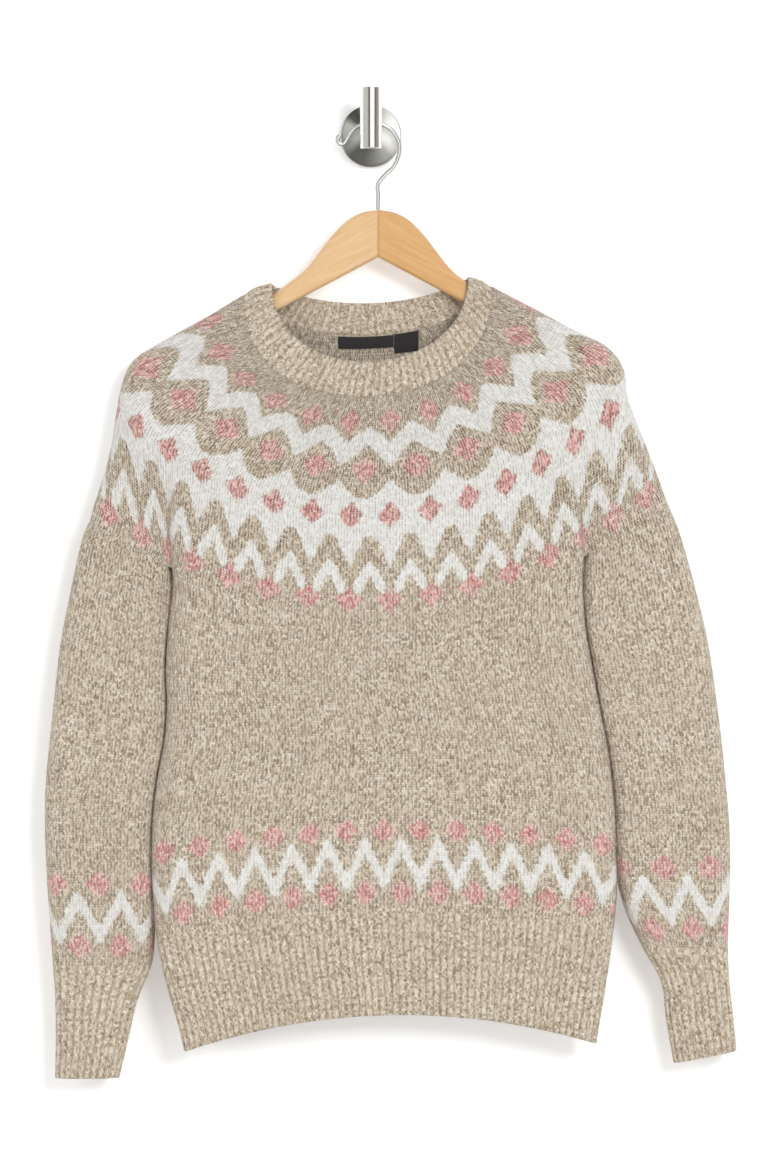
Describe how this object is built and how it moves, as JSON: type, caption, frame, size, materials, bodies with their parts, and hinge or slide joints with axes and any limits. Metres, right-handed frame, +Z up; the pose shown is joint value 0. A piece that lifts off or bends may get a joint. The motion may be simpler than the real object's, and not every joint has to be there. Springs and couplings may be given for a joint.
{
  "type": "fair isle jumper on a hanger and wall hook",
  "caption": "Knitted round-yoke jumper with patterned bands, ribbed neck, cuffs and hem, hanging on a wooden hanger from a round metal wall hook.",
  "frame": {"origin": "centre of the wall plate's back face, on the wall", "axes": "+X to the right as the jumper is seen from the front, +Y into the wall, +Z up"},
  "size_m": [0.5896, 0.0631, 0.8422],
  "materials": {
    "wool": "soft knitted wool, tan heather with pink and white patterned bands",
    "wool_rib": "ribbed knitted wool, tan heather",
    "label": "smooth woven",
    "wood": "satin varnish",
    "wire": "bright",
    "steel": "fine brushed"
  },
  "bodies": {
    "root": {"yoke": "wool", "front_panel": "wool", "back_panel": "wool", "sleeve_left": "wool", "sleeve_right": "wool", "neckband": "wool_rib", "front_hem_rib": "wool_rib", "back_hem_rib": "wool_rib", "cuff_left": "wool_rib", "cuff_right": "wool_rib", "neck_label": "label", "size_label": "label", "hanger_arm_left": "wood", "hanger_arm_right": "wood", "hanger_hook": "wire", "wall_rose": "steel", "wall_peg": "steel"}
  },
  "joints": []
}
